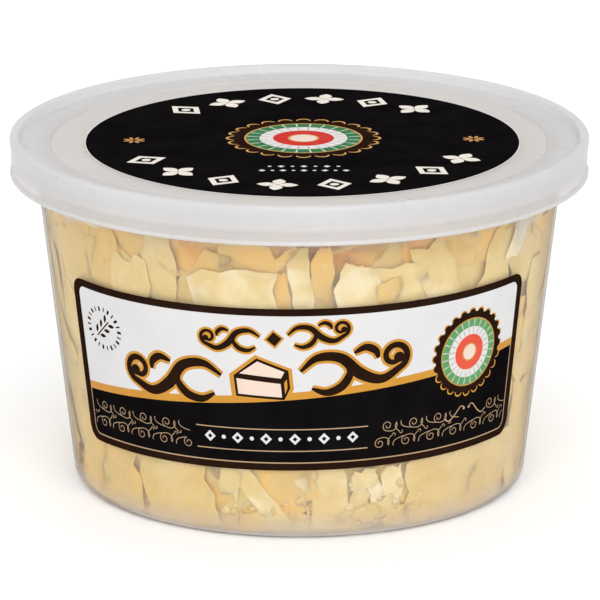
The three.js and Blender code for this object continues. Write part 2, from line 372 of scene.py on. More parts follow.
def floor_material():
    """White, a trace cool, so that the floor comes out as neutral as the photo's background."""
    n = Nodes("floor_white")
    whites = [(0.3, (0.955, 0.965, 0.985, 1)), (0.7, (0.965, 0.975, 0.995, 1))]
    pale = n.ramp(n.noise(n.place(), 3.0, 2.0), whites)
    inputs = {"Base Color": pale, "Roughness": 0.8, "Specular IOR Level": 0.1}
    return n.finish(n.add("BsdfPrincipled", inputs))


# ---------------- tub and lid

# Painted glare: pale patches in the plastic's haze that stand for glints on the wall. x and z on the wall,
# how much each axis counts, reach and amount.
GLARE_SPOTS = (
    (50.0, 59.0, (1, 1, 0.6), 3.4, 0.25),
    (53.5, 62.0, (0.6, 0.6, 1.4), 4.5, 0.35),
    (-56.0, 62.0, (0.4, 0.4, 1.6), 4.0, 0.4),
)


def make_tub():
    """Thin tapered shell with a rounded foot, a raised base and a flange under the lid."""
    flange = RIM_TOP - RIM_THICKNESS
    floor = FOOT_RISE + WALL
    fillet = (FILLET_CENTRE, FOOT_FILLET)
    profile = [
        (0, FOOT_RISE),
        *arc((FOOT_RING - FOOT_RISE, 0), FOOT_RISE, 90, 0, 5),
        *arc(fillet, FOOT_FILLET, -90, 0, 12),
        *[(outer_radius(z), z) for z in (*WALL_HEIGHTS, flange - MOUTH_EDGE)],
        (outer_radius(flange) + RIM_EDGE, flange),
        *arc((RIM_RADIUS - RIM_EDGE, flange + RIM_EDGE), RIM_EDGE, -90, 0, 4),
        *arc((RIM_RADIUS - RIM_EDGE, RIM_TOP - RIM_EDGE), RIM_EDGE, 0, 90, 4),
        *arc((inner_radius(RIM_TOP) + MOUTH_EDGE, RIM_TOP - MOUTH_EDGE), MOUTH_EDGE, 90, 180, 4),
        *[(inner_radius(z), z) for z in reversed(WALL_HEIGHTS)],
        *arc(fillet, FOOT_FILLET - WALL, 0, -90, 10),
        (FOOT_RING + WALL / 2, WALL),
        (FOOT_RING + WALL / 2 - FOOT_RISE, floor),
        (0, floor),
    ]
    milk = ((226, 224, 221), (236, 234, 231))
    # From a height to a height, the haze added at the first and at the second.
    bands = ((0.4, 6.0, 0.34, 0.0), (SKIRT_BOTTOM - 3.5, SKIRT_BOTTOM, 0.0, 0.16))
    # The painted glare spots, placed on the wall's outer surface.
    glare_spots = [(round_the_wall(x, z, outer_radius(z)), *spot) for x, z, *spot in GLARE_SPOTS]
    clear = plastic_material("tub_plastic", milk, haze=0.12, edge_haze=0.3, roughness=0.22, cloud=0.03,
                             bands=bands, glare_spots=glare_spots, edge_tint=0.6)
    return lathe("tub_shell", profile, [clear])


def make_lid():
    """Lid: flat panel, raised band over the rim, crest, straight skirt with a rolled lower edge."""
    inside = LID_RADIUS - PLASTIC
    crest = LID_RADIUS - CREST_WIDTH
    bead = RIM_TOP - RIM_THICKNESS - 1.0
    profile = [
        (0, PANEL_UNDER),
        (PLUG_RADIUS - PLASTIC, PANEL_UNDER),
        *arc((PLUG_RADIUS - PLASTIC / 2, PLUG_BOTTOM + PLASTIC / 2), PLASTIC / 2, 180, 360, 6),
        (PLUG_RADIUS, RECESS_UNDER),
        (inside, RECESS_UNDER),
        *arc((inside + 0.1, bead), SNAP_BEAD, 120, 240, 6),
        (inside, SKIRT_BOTTOM + 2 * LIP),
        *arc((LID_RADIUS - LIP, SKIRT_BOTTOM + LIP), LIP, 180, 360, 8),
        (LID_RADIUS - SKIRT_STEP[1], SKIRT_BOTTOM + 2 * LIP + 0.1),
        (LID_RADIUS - SKIRT_STEP[1], LID_TOP - SHOULDER[1]),
        (LID_RADIUS - SKIRT_STEP[0], LID_TOP - SHOULDER[0]),
        *arc((LID_RADIUS - TOP_EDGE, LID_TOP - TOP_EDGE), TOP_EDGE, 0, 90, 8),
        *arc((crest + CREST_EDGE, LID_TOP - CREST_EDGE), CREST_EDGE, 90, 165, 6),
        *arc((crest - CREST_SLOPE, RECESS_TOP + CREST_FOOT), CREST_FOOT, -15, -90, 5),
        *arc((PANEL_RADIUS + PANEL_EDGE, RECESS_TOP - PANEL_STEP), PANEL_STEP, 90, 150, 4),
        (PANEL_RADIUS, PANEL_TOP),
        (0, PANEL_TOP),
    ]
    milk = ((224, 223, 223), (230, 229, 229))
    # The top panel gets a paler copy of the lid's plastic: painted light, lifting the top above the skirt.
    pale = ((236, 232, 228), (241, 237, 233))
    lip_ends, rim_starts = SKIRT_BOTTOM + 0.8, SKIRT_BOTTOM + 2.4
    bands = ((lip_ends, lip_ends + 0.3, 0.0, -0.28), (rim_starts, rim_starts + 1.0, 0.0, 0.28))
    look = {"haze": 0.87, "edge_haze": 0.95, "roughness": 0.3, "cloud": 0.02}
    skirt = plastic_material("lid_plastic", milk, bands=bands, **look)
    panel = plastic_material("lid_panel_painted_light", pale, **look)
    return lathe("lid_shell", profile, [skirt, panel], 1)


# ---------------- shavings

# Painted shade: the cheese's tone is deepened towards the floor and right under the lid, standing for shade
# there: by how much, and where.
FLOOR_SHADE_TONE, FLOOR_SHADE_REACH = 0.35, 7.0
LID_SHADE_TONE, LID_SHADE_START, LID_SHADE_REACH = 0.12, 57.0, 4.5


class Heap:
    """Collects closed pieces of cheese and joins them into one mesh."""

    def __init__(self):
        self.points = []
        self.faces = []
        self.tone = []
        self.drag = []
        self.count = 0

    def add(self, points, faces, tone, drag):
        # Painted shade: the tone deepens towards the floor and under the lid.
        z = points[:, 2]
        low = FLOOR_SHADE_TONE * np.clip(1 - z / FLOOR_SHADE_REACH, 0, 1)
        high = LID_SHADE_TONE * np.clip((z - LID_SHADE_START) / LID_SHADE_REACH, 0, 1)
        self.points.append(points)
        self.faces += [tuple(i + self.count for i in face) for face in faces]
        self.tone.append(tone + low + high)
        self.drag.append(drag)
        self.count += len(points)

    def build(self, name, material):
        piece = mesh_object(name, np.concatenate(self.points), self.faces, [material], sharp=50.0)
        for label, values in (("tone", self.tone), ("drag", self.drag)):
            attribute = piece.data.attributes.new(label, "FLOAT", "POINT")
            attribute.data.foreach_set("value", np.concatenate(values).astype(np.float32))
        return piece


def knots(rng, count, samples, amount):
    """A random line: count random heights, joined straight, read at the samples."""
    heights = rng.uniform(-amount, amount, count)
    return np.interp(samples, np.linspace(0, 1, count), heights)


def grid_faces(rows, columns):
    """Faces of a closed sheet whose two sides are rows x columns points each."""
    faces = []
    shift = rows * columns
    for row in range(rows - 1):
        for column in range(columns - 1):
            a = row * columns + column
            quad = (a, a + 1, a + columns + 1, a + columns)
            faces.append(quad)
            faces.append(tuple(i + shift for i in reversed(quad)))
    rim = list(range(columns))
    rim += [r * columns + columns - 1 for r in range(1, rows)]
    rim += [(rows - 1) * columns + c for c in range(columns - 2, -1, -1)]
    rim += [r * columns for r in range(rows - 2, 0, -1)]
    for a, b in zip(rim, rim[1:] + rim[:1]):
        faces.append((b, a, a + shift, b + shift))
    return faces


# Points across and along a shaving that shows, and one that is mostly covered by others.
FINE, COARSE = (13, 24), (9, 16)
SHEETS = {grid: grid_faces(*grid) for grid in (FINE, COARSE)}


def sheet_outline(rng, length, width, ragged, grid):
    """Ragged, slightly tapered patch: u along, v across, and both as shares from -1 to 1."""
    rows, columns = grid
    s, t = np.meshgrid(np.linspace(0, 1, columns), np.linspace(0, 1, rows))
    along = 2 * s - 1
    across = 2 * t - 1
    taper = 1 - rng.uniform(0.05, 0.4) * np.abs(along) ** 3
    lean = rng.uniform(-0.25, 0.25)
    edge = s[0]
    low, high = [side * width * taper[0] + knots(rng, 6, edge, ragged) + knots(rng, 15, edge, 0.3 * ragged)
                 for side in (-0.5, 0.5)]
    v = low[None, :] + (high - low)[None, :] * t
    ends = t[:, 0]
    near, far = [knots(rng, 5, ends, 1.6 * ragged) + knots(rng, 11, ends, 0.4 * ragged) for _ in range(2)]
    u = (s - 0.5) * length + near[:, None] * (1 - s) ** 2 + far[:, None] * s ** 2 + lean * v
    return u, v, along, across


def waves(rng, u, v, amount):
    """Slow ripples over a sheet."""
    total = np.zeros_like(u)
    for _ in range(3):
        angle = rng.uniform(0, TURN)
        pitch = rng.uniform(7, 16)
        total += np.sin((u * cos(angle) + v * sin(angle)) * TURN / pitch + rng.uniform(0, TURN))
    return amount * total / 3


def ceiling(radius):
    """The height that the heap may reach under the lid at a distance from the axis."""
    return np.where(radius < PLUG_RADIUS - PLASTIC - 0.4, PANEL_UNDER - 0.15, PLUG_BOTTOM - 0.2)


def keep_inside(points, margin):
    """Moves points that would cross the wall, the floor or the lid back inside the tub."""
    radius = np.hypot(points[..., 0], points[..., 1])
    ground = np.where(radius > FOOT_RING + WALL, WALL, FOOT_RISE + WALL)
    z = np.clip(points[..., 2], ground + margin, ceiling(radius) - margin)
    limit = inner_radius(z) - margin
    drop = np.clip(FOOT_FILLET - z, 0, FOOT_FILLET - WALL)
    corner = FILLET_CENTRE + np.sqrt((FOOT_FILLET - WALL) ** 2 - drop ** 2 + 1e-9) - margin
    limit = np.where(z < FOOT_FILLET, np.minimum(limit, corner), limit)
    shrink = np.minimum(1, limit / np.maximum(radius, 1e-6))
    return np.stack([points[..., 0] * shrink, points[..., 1] * shrink, z], axis=-1)


def add_sheet(heap, rng, middle, along, across, thickness, tone, v):
    """Gives a middle surface its thickness, thinner towards its edges, and adds it to the heap."""
    middle = keep_inside(middle, 0.5 * thickness + 0.05)
    du = np.gradient(middle, axis=1)
    dv = np.gradient(middle, axis=0)
    normal = np.cross(du, dv)
    normal /= np.linalg.norm(normal, axis=-1, keepdims=True) + 1e-12
    edge = np.minimum(1 - np.abs(along), (1 - np.abs(across)) * 0.6)
    thick = thickness * (0.25 + 0.75 * np.clip(edge * 5, 0, 1) ** 0.7)
    grain = rng.normal(0, 0.03, middle.shape[:2])
    top = middle + normal * (0.5 * thickness + grain)[..., None]
    bottom = top - normal * thick[..., None]
    points = keep_inside(np.concatenate([top.reshape(-1, 3), bottom.reshape(-1, 3)]), 0.04)
    shade = tone + 0.08 * np.clip(1 - edge * 6, 0, 1) * rng.uniform(-1, 1)
    drag = np.tile(v.ravel(), 2) * 2.2 + rng.uniform(0, 500)
    heap.add(points, SHEETS[middle.shape[:2]], np.tile(shade.ravel(), 2), drag)


def wall_shaving(heap, rng, x, z, spin, length, width, depth, tone, tilt=(0.0, 0.0),
                 curl=0.3, wave=0.35, thickness=0.9, grid=FINE):
    """A shaving against the wall, centred x round the front and z up, turned by spin degrees.

    depth is how far its middle stays behind the wall, tilt how much that grows per millimetre
    along and across it, and curl how far its ends bend away from the wall.
    """
    u, v, along, across = sheet_outline(rng, length, width, min(0.75, 0.13 * width), grid)
    turn = radians(spin)
    sideways = u * cos(turn) - v * sin(turn)
    height = z + u * sin(turn) + v * cos(turn)
    behind = depth + tilt[0] * u + tilt[1] * v + curl * along ** 2 + 0.3 * curl * across ** 2
    behind = np.maximum(behind + waves(rng, u, v, wave), 0) + 0.5 * thickness + 0.05
    radius = inner_radius(height) - behind
    middle = around_axis(radius, (x + sideways) / WRAP_RADIUS - pi / 2, height)
    add_sheet(heap, rng, middle, along, across, thickness, tone, v)


def rotation(axis, angle):
    """The matrix of a turn about X, Y or Z, which are axes 0, 1 and 2."""
    matrix = np.eye(3)
    a, b = (axis + 1) % 3, (axis + 2) % 3
    matrix[a, a] = matrix[b, b] = cos(angle)
    matrix[b, a] = sin(angle)
    matrix[a, b] = -matrix[b, a]
    return matrix


def loose_shaving(heap, rng, centre, turn, lean, length, width, tone, curl, thickness=1.1):
    """A shaving lying free: lean is its slope about two axes before it turns about Z."""
    u, v, along, across = sheet_outline(rng, length, width, 0.6, FINE)
    rise = -curl * along ** 2 - 0.25 * curl * across ** 2 + waves(rng, u, v, 0.6)
    local = np.stack([u, v, rise], axis=-1)
    laid = rotation(2, turn) @ rotation(1, lean[1]) @ rotation(0, lean[0])
    add_sheet(heap, rng, local @ laid.T + np.array(centre), along, across, thickness, tone, v)


# The shavings that show above and below the front label: where each lies, how it is turned,
# its size, how far it stays behind the wall and how deep its colour is.
FRONT_SHAVINGS = [
    # x, z, spin, length, width, depth, tone
    (-54, 54, 80, 20, 13, 0.5, 0.48),
    (-44.5, 51, 95, 15, 10, 0.4, 0.46),
    (-36, 49.5, 88, 15, 10, 0, 0.24),
    (-28.3, 55.5, 92, 17, 7, 0.3, 0.22),
    (-22.5, 51, 80, 10, 6, 0.7, 0.4),
    (-12.2, 49.5, 4, 17, 15, 0, 0.16),
    (-3.4, 52.6, 93, 8, 3.2, 0.5, 0.78),
    # A thin strip of deeper tone: painted shade along a diagonal streak of shadow.
    (-3.8, 58.8, 47, 9.5, 2.2, 0.3, 0.55),
    (0.4, 54.8, 97, 15, 4.4, 0.2, 0.16),
    (4.3, 55.2, 86, 13, 4.4, 0.6, 0.58),
    (10.8, 50.5, 84, 15, 8, 0, 0.12),
    (19.6, 50.8, 3, 13, 13, 0.4, 0.24),
    (18.6, 52.4, 8, 8, 5, 0.1, 0.5),
    (28.2, 53.8, 112, 16, 9, 0.2, 0.2),
    (36.5, 56, 118, 15, 9, 1.2, 0.6),
    (44, 52.5, 75, 16, 9, 0.3, 0.3),
    # The near-white piece at x 50.2 is a painted highlight: pale cheese where glare shows on the wall.
    (50.2, 58.2, 72, 9, 4.4, 0, -0.35),
    (53, 55.5, 100, 19, 10, 0.5, 0.38),
    (-55.5, 8.5, 70, 20, 15, 0.2, 0.5),
    (-46.5, 8, 8, 16, 17, 0.1, 0.45),
    (-28.5, 8, 5, 18, 17, 0, 0.34),
    (-17, 7.8, 86, 17, 7.5, 0.8, 0.62),
    (-15, 11.8, 82, 7, 4.5, 0, 0.18),
    (-7, 7.4, -52, 19, 4, 0, 0.12),
    (-3, 12.2, 12, 12, 11, 0.2, 0.6),
    (-10, 3.4, 12, 9, 5, 0.4, 0.3),
    (0.2, 3.4, -8, 9, 5, 0.3, 0.25),
    (1.8, 13.2, 5, 5, 4.5, 0.1, 0.25),
    (6.6, 9, 88, 16, 7.2, 0, 0.2),
    (14, 12.3, 15, 6, 4.2, 0, 0.15),
    (13.6, 8.6, 70, 5, 4, 0.3, 0.22),
    (16.8, 9.9, 110, 4.5, 3.2, 0.1, 0.1),
    (20.6, 10.8, 95, 8, 4.2, 0.1, 0.12),
    (19.4, 6.2, 30, 6, 4, 0.2, 0.2),
    (14.4, 5.2, -15, 6.5, 3.6, 0.1, 0.24),
    (10.2, 3.6, 20, 6, 4, 0.2, 0.2),
    (22.5, 3.4, 5, 7, 4.6, 0.3, 0.3),
    (33.2, 8.4, 2, 19, 17, 0, 0.36),
    (49, 8.6, -6, 19, 17, 0.1, 0.36),
]

# Thin pale pieces under the lid's left edge: a painted highlight, near-white cheese that stands for a streak
# of light there.
HIGHLIGHT_SHAVINGS = [
    (-57, 62.6, 1, 13, 2, 0, -0.35),
    (-48, 62.3, -2, 10, 1.8, 0, -0.3),
]

# Shavings that stand back from the wall above the label, in the shade of the lid. Their deep golden tones
# are partly painted: warm shade and glow under the lid, over the cheese's own colour.
DEEP_SHAVINGS = [
    (-47, 59, 20, 18, 11, 0.5, 0.5),
    (-38, 60.5, 5, 15, 8, 0.8, 0.6),
    (-19.5, 58, 100, 14, 11, 1.2, 0.8),
    (-11.5, 60.2, 172, 15, 8, 1.4, 0.62),
    (-8, 60, 15, 16, 9, 1.7, 0.66),
    (10, 61, 10, 17, 9, 1.8, 0.9),
    (13.5, 60, -12, 9, 6, 1.3, 0.98),
    (21, 60.5, -8, 14, 8, 1.3, 0.84),
    (33, 60.5, 30, 14, 9, 0.9, 0.64),
    (44, 60.5, 10, 14, 9, 0.9, 0.5),
]


FRONT_REACH = 60.0      # the listed shavings cover the wall up to here on either side
DEEP_LEFT, DEEP_RIGHT, DEEP_LOW = -26, 22, 53   # where the photo shows deep gaps under the lid
DEEP_BACK = 2.7
PILE = 90
PILE_RADIUS = 47.0
PILE_LOW, PILE_HIGH = 57.5, 65.5


def shingle(rng, amount):
    """A small random slope, so that a shaving touches the wall along one side only."""
    return rng.uniform(-amount, amount), rng.uniform(-amount, amount)


def places_on_wall(rng, rows, columns, low, pitch):
    """Places in staggered rows round the whole wall, each moved a little at random."""
    around = TURN * WRAP_RADIUS
    for row in range(rows):
        for i in range(columns):
            x = (i + 0.5 * (row % 2) + rng.uniform(-0.3, 0.3)) * around / columns - around / 2
            yield x, low + row * pitch + rng.uniform(-2.0, 2.0)


def make_front():
    """The shavings that show at the front, the deep ones under the lid, and the pale ones that are a painted
    highlight under its left edge.
    """
    heap = Heap()
    rng = np.random.default_rng(20)
    for row in FRONT_SHAVINGS:
        wall_shaving(heap, rng, *row, shingle(rng, 0.04), thickness=0.7)
    for row in DEEP_SHAVINGS:
        wall_shaving(heap, rng, *row, shingle(rng, 0.08), curl=0.6, wave=0.5)
    rng = np.random.default_rng(3)
    # Near-white pieces: painted highlight.
    for row in HIGHLIGHT_SHAVINGS:
        wall_shaving(heap, rng, *row, thickness=0.7)
    return heap


def make_behind():
    """A second layer round the whole wall, farther back at the deep gaps."""
    heap = Heap()
    rng = np.random.default_rng(21)
    for x, z in places_on_wall(rng, 9, 22, 4, 7.2):
        back = DEEP_BACK if DEEP_LEFT < x < DEEP_RIGHT and z > DEEP_LOW else 0.0
        wall_shaving(heap, rng, x, z, rng.uniform(0, 180), rng.uniform(15, 23), rng.uniform(10, 15),
                     back + rng.uniform(0.7, 1.5), rng.uniform(0.3, 0.65), shingle(rng, 0.05),
                     rng.uniform(0.1, 0.5), 0.3, grid=COARSE)
    return heap


def make_sides():
    """The shavings that show at the sides and the back."""
    heap = Heap()
    rng = np.random.default_rng(22)
    for x, z in places_on_wall(rng, 7, 16, 6, 8.6):
        shape = (rng.uniform(0, 180), rng.uniform(14, 24), rng.uniform(9, 15))
        depth, tone = rng.uniform(0, 0.7), rng.uniform(0.15, 0.5)
        slope = shingle(rng, 0.07)
        if abs(x) > FRONT_REACH:
            wall_shaving(heap, rng, x, z, *shape, depth, tone, slope, rng.uniform(0.2, 0.8))
    return heap


def make_top():
    """The loose shavings on top, spread over the pile in a golden spiral."""
    heap = Heap()
    rng = np.random.default_rng(23)
    golden = pi * (3 - sqrt(5))
    for i in range(PILE):
        spot = on_circle((0, 0), PILE_RADIUS * sqrt((i + 0.5) / PILE), golden * i)
        centre = (*spot, rng.uniform(PILE_LOW, PILE_HIGH))
        lean = (rng.uniform(-0.6, 0.6), rng.uniform(-0.6, 0.6))
        loose_shaving(heap, rng, centre, rng.uniform(0, TURN), lean, rng.uniform(15, 24),
                      rng.uniform(9, 15), rng.uniform(0.2, 0.6), rng.uniform(0.8, 3.0))
    return heap


CORE_COLUMNS = 96
CORE_TOP = 57.0
CORE_CROWN = 58.5
CORE_GAP = 2.9          # to the tub's wall
CORE_SWELL = 0.6


def core_swell(angle, z):
    """Slow and quick swells of the core's surface, from about -1 to 1."""
    slow = np.sin(5 * angle + 0.11 * z) * np.cos(3 * angle - 0.19 * z)
    return 0.6 * slow + 0.4 * np.sin(11 * angle + 0.37 * z + 1.3)


def make_core():
    """Smooth lumpy body of packed cheese behind the shavings."""
    start = FOOT_RISE + WALL + 0.3
    angles = np.arange(CORE_COLUMNS) * TURN / CORE_COLUMNS
    rings = []
    for z in np.linspace(start, CORE_TOP, 22):
        foot = 0.8 if z < FOOT_FILLET else 0.0
        radius = inner_radius(z) - CORE_GAP - foot + CORE_SWELL * core_swell(angles, z)
        rings.append(around_axis(radius, angles, z))
    for share in np.linspace(0.93, 0.1, 10):
        z = CORE_CROWN + 2.0 * core_swell(angles, 60 * share) * share
        rings.append(around_axis(share * (inner_radius(CORE_TOP) - CORE_GAP), angles, z))
    points = np.concatenate(rings + [[[0, 0, start]], [[0, 0, CORE_CROWN]]])
    bottom, crown = len(points) - 2, len(points) - 1
    last = bottom - CORE_COLUMNS
    faces = []
    for i in range(CORE_COLUMNS):
        j = (i + 1) % CORE_COLUMNS
        faces.append((bottom, j, i))
        for a in range(0, last, CORE_COLUMNS):
            b = a + CORE_COLUMNS
            faces.append((a + i, a + j, b + j, b + i))
        faces.append((last + i, last + j, crown))
    core = Heap()
    core.add(points, faces, np.full(len(points), 0.5), points[:, 2] * 0.5)
    return core


CRUMBS = 420
FRONT_CRUMBS = 190


def make_crumbs():
    """Crumbs and broken ends that gather low against the wall, thickest at the front."""
    rng = np.random.default_rng(7)
    heap = Heap()
    ball, faces = icosphere_points()
    for i in range(CRUMBS):
        front = i < FRONT_CRUMBS
        x = rng.normal(8, 13) if front else rng.uniform(-157, 157)
        z = 2.0 + abs(rng.normal(0, 4.5 if front else 3.0))
        size = rng.uniform(0.25, 0.9) * (1.15 if front else 1.0)
        depth = size + rng.uniform(0, 1.6)
        lump = ball * (1 + 0.18 * rng.normal(0, 1, (len(ball), 1))) * rng.uniform(0.5, 1.6, 3) * size
        points = keep_inside(lump + round_the_wall(x, z, inner_radius(z) - depth), 0.05)
        heap.add(points, faces, np.full(len(points), rng.uniform(0.1, 0.5)), points[:, 2] * 2)
    return heap


def icosphere_points():
    """Points and triangles of a unit ball with 42 corners."""
    ball = bmesh.new()
    bmesh.ops.create_icosphere(ball, subdivisions=2, radius=1.0)
    points = np.array([tuple(vertex.co) for vertex in ball.verts])
    faces = [tuple(vertex.index for vertex in face.verts) for face in ball.faces]
    ball.free()
    return points, faces


# ---------------- printed labels


class Print:
    """Flat coloured shapes, later ones on top, cut into one sheet of faces."""

    def __init__(self, outline, ink):
        self.shapes = []
        self.folds = []     # lines that add no colour, so that the sheet can bend along them
        self.fill(outline, ink)

    def fill(self, polygon, ink):
        self.shapes.append(([tuple(p) for p in polygon], INKS.index(ink)))

    def stroke(self, centre_line, widths, ink):
        """A line with a width at each point, laid down quad by quad."""
        line = np.asarray(centre_line, dtype=float)
        widths = np.broadcast_to(np.asarray(widths, dtype=float), (len(line),))
        ahead = np.gradient(line, axis=0)
        ahead /= np.linalg.norm(ahead, axis=1, keepdims=True) + 1e-12
        side = np.stack([-ahead[:, 1], ahead[:, 0]], axis=1) * widths[:, None] / 2
        left, right = line + side, line - side
        for i in range(len(line) - 1):
            self.fill([right[i], right[i + 1], left[i + 1], left[i]], ink)

    def dot(self, centre, radius, ink, corners=16, turn=0.0):
        angles = turn + np.arange(corners) * TURN / corners
        self.fill([on_circle(centre, radius, a) for a in angles], ink)

    def cut(self):
        """Points, triangles and the ink of each triangle, taken from the last shape over it."""
        points, edges = [], []
        for polygon, _ in self.shapes:
            first, count = len(points), len(polygon)
            edges += [(first + i, first + (i + 1) % count) for i in range(count)]
            points.extend(polygon)
        for fold in self.folds:
            edges.append((len(points), len(points) + 1))
            points.extend(fold)
        done = delaunay_2d_cdt([Vector(p) for p in points], edges, [], 0, 1e-4, False)
        flat = np.array([tuple(p) for p in done[0]])
        triangles = np.array([tuple(t) for t in done[2]])
        middle = flat[triangles].mean(axis=1)
        slots = np.full(len(triangles), -1)
        for polygon, ink in self.shapes:
            slots[inside_polygon(middle, np.array(polygon))] = ink
        kept = inside_polygon(middle, np.array(self.shapes[0][0]))
        return flat, triangles[kept].tolist(), slots[kept].tolist()


def inside_polygon(points, polygon):
    """Indices of the points that lie inside a polygon."""
    low, high = polygon.min(axis=0), polygon.max(axis=0)
    near = np.nonzero(np.all((points >= low) & (points <= high), axis=1))[0]
    x, y = points[near, 0], points[near, 1]
    inside = np.zeros(len(near), dtype=bool)
    for (x0, y0), (x1, y1) in zip(polygon, np.roll(polygon, -1, axis=0)):
        if y0 == y1:
            continue
        crosses = (y0 > y) != (y1 > y)
        inside ^= crosses & (x < (x1 - x0) * (y - y0) / (y1 - y0) + x0)
    return near[inside]


def smooth_line(points, steps=8):
    """A Catmull-Rom curve through a few points."""
    p = np.asarray(points, dtype=float)
    p = np.vstack([2 * p[0] - p[1], p, 2 * p[-1] - p[-2]])
    out = []
    for a, b, c, d in zip(p, p[1:], p[2:], p[3:]):
        for t in np.arange(steps) / steps:
            out.append(0.5 * (2 * b + (c - a) * t + (2 * a - 5 * b + 4 * c - d) * t ** 2
                              + (3 * b - a - 3 * c + d) * t ** 3))
    out.append(p[-2])
    return np.array(out)


def spiral(centre, inner, outer, start, end, steps):
    """A curl that opens from the inner to the outer radius between two angles in degrees."""
    share = np.linspace(0, 1, steps)
    angles = np.radians(start + (end - start) * share)
    radii = inner + (outer - inner) * share
    return np.stack([centre[0] + radii * np.cos(angles), centre[1] + radii * np.sin(angles)], axis=1)


def rounded(left, right, low, high, corner):
    """A rectangle with round corners, its points anticlockwise from the right side's top."""
    left, right, low, high = left + corner, right - corner, low + corner, high - corner
    centres = ((right, high), (left, high), (left, low), (right, low))
    return [p for i, c in enumerate(centres) for p in arc(c, corner, 90 * i, 90 * i + 90, 8)]


def swelling(count, thin, thick):
    """Widths of a brush stroke that starts and ends thin."""
    return thin + (thick - thin) * np.sin(np.linspace(0, pi, count)) ** 0.8


def label_object(name, page, to_world, edge_ink):
    """The printed sheet as thin paper: print in front, plain paper behind."""
    flat, triangles, slots = page.cut()
    points = [to_world(u, v, lift) for lift in (PAPER, 0.0) for u, v in flat]
    count = len(flat)
    faces = triangles + [tuple(i + count for i in reversed(t)) for t in triangles]
    edges = dict.fromkeys(edge for a, b, c in triangles for edge in ((a, b), (b, c), (c, a)))
    rim = [(a, b) for a, b in edges if (b, a) not in edges]
    faces += [(b, a, a + count, b + count) for a, b in rim]
    all_slots = slots + [0] * len(triangles) + [INKS.index(edge_ink)] * len(rim)
    return mesh_object(name, points, faces, INKS, all_slots, sharp=60.0)


WHITE_INK = ink_material("paper_white", (204, 203, 202), (208, 207, 206), 0.45, 0.25)
IVORY_INK = ink_material("ink_ivory", (216, 208, 197), (222, 214, 203), 0.45)
BLACK_INK = ink_material("ink_black", (13, 11, 12), (18, 16, 16), 0.6, 0.0)
BROWN_INK = ink_material("ink_brown", (33, 20, 14), (39, 25, 17), 0.5, 0.0)
GOLD_INK = ink_material("ink_gold", (188, 131, 42), (194, 138, 48), 0.42)
TAN_INK = ink_material("ink_tan", (172, 142, 110), (180, 150, 118), 0.45, 0.15)
GREEN_INK = ink_material("ink_green", (84, 140, 84), (90, 147, 92), 0.48)
RED_INK = ink_material("ink_red", (208, 72, 46), (214, 80, 54), 0.48)
CREAM_INK = ink_material("ink_cream", (218, 195, 178), (222, 200, 185), 0.45)
# Darker copies of the green and red for the lid's rosette: painted shade, for the lid's top that gets less
# light.
LID_SHADED_GREEN_INK = ink_material("ink_green_lid_painted_shade", (34, 104, 55), (42, 112, 62), 0.5, 0.03)
LID_SHADED_RED_INK = ink_material("ink_red_lid_painted_shade", (188, 30, 16), (195, 40, 24), 0.5, 0.03)
INKS = [WHITE_INK, BLACK_INK, BROWN_INK, GOLD_INK, TAN_INK, GREEN_INK, RED_INK, CREAM_INK,
        LID_SHADED_GREEN_INK, LID_SHADED_RED_INK, IVORY_INK]

LID_LABEL_CORNERS = 144
LID_RING = 35.1         # radius of the ring of ornaments
VINE_PITCH = 5.86
VINE_LINE = 0.14
VINE_ENDS = (FIELD_LEFT + 0.5, FIELD_RIGHT - 0.5)
SCALLOPS = PLEATS = 24


def vine_unit(page, origin, flip, head=True, sprout=True):
    """One length of scrollwork vine: a curl, a slim bud, a hanging curl and a sprout."""
    def pen(points):
        """One stroke, cut off at the frame of the label."""
        placed = [(origin[0] + x, origin[1] + flip * y) for x, y in points]
        kept = [p for p in placed if VINE_ENDS[0] < p[0] < VINE_ENDS[1]]
        if len(kept) > 2:
            page.stroke(kept, VINE_LINE, TAN_INK)

    curl = list(spiral((0, 1.2), 0.3, 1.1, -190, 250, 26))
    if head and not sprout:
        pen(curl)
    elif head:
        base = smooth_line([curl[-2], curl[-1], (0.75, -0.02), (1.6, 0.22), (2.05, 0.95), (1.95, 1.75)], 6)
        pen(curl + list(base[7:]))
        pen(smooth_line([(1.95, 1.75), (1.72, 1.2), (1.85, 0.55), (2.2, 0.1), (2.75, -0.4)], 6))
    if sprout:
        pen(spiral((3.1, -0.35), 0.42, 0.2, 200, 420, 12))
        pen(smooth_line([(3.0, 1.95), (2.95, 1.45), (3.3, 0.85), (4.0, 0.5), (4.9, 0.25),
                         (VINE_PITCH - 0.37, 0.17)], 6))


def vine_row(page, start, count, base, flip, lead_in=False):
    """Some lengths of vine one after the other; lead_in puts a sprout before the first."""
    if lead_in:
        vine_unit(page, (start - VINE_PITCH, base), flip, False)
    for i in range(count):
        vine_unit(page, (start + i * VINE_PITCH, base), flip)


def leaf(centre, angle, length, width):
    """A pointed leaf, symmetrical about its length."""
    share = np.linspace(0, 1, 9)
    half = 0.5 * width * np.sin(pi * share) ** 0.9
    x = (share - 0.5) * length
    upper = np.stack([x, half], axis=1)
    lower = np.stack([x, -half], axis=1)
    return turned(np.vstack([upper[::-1], lower[1:-1]]), centre, angle)


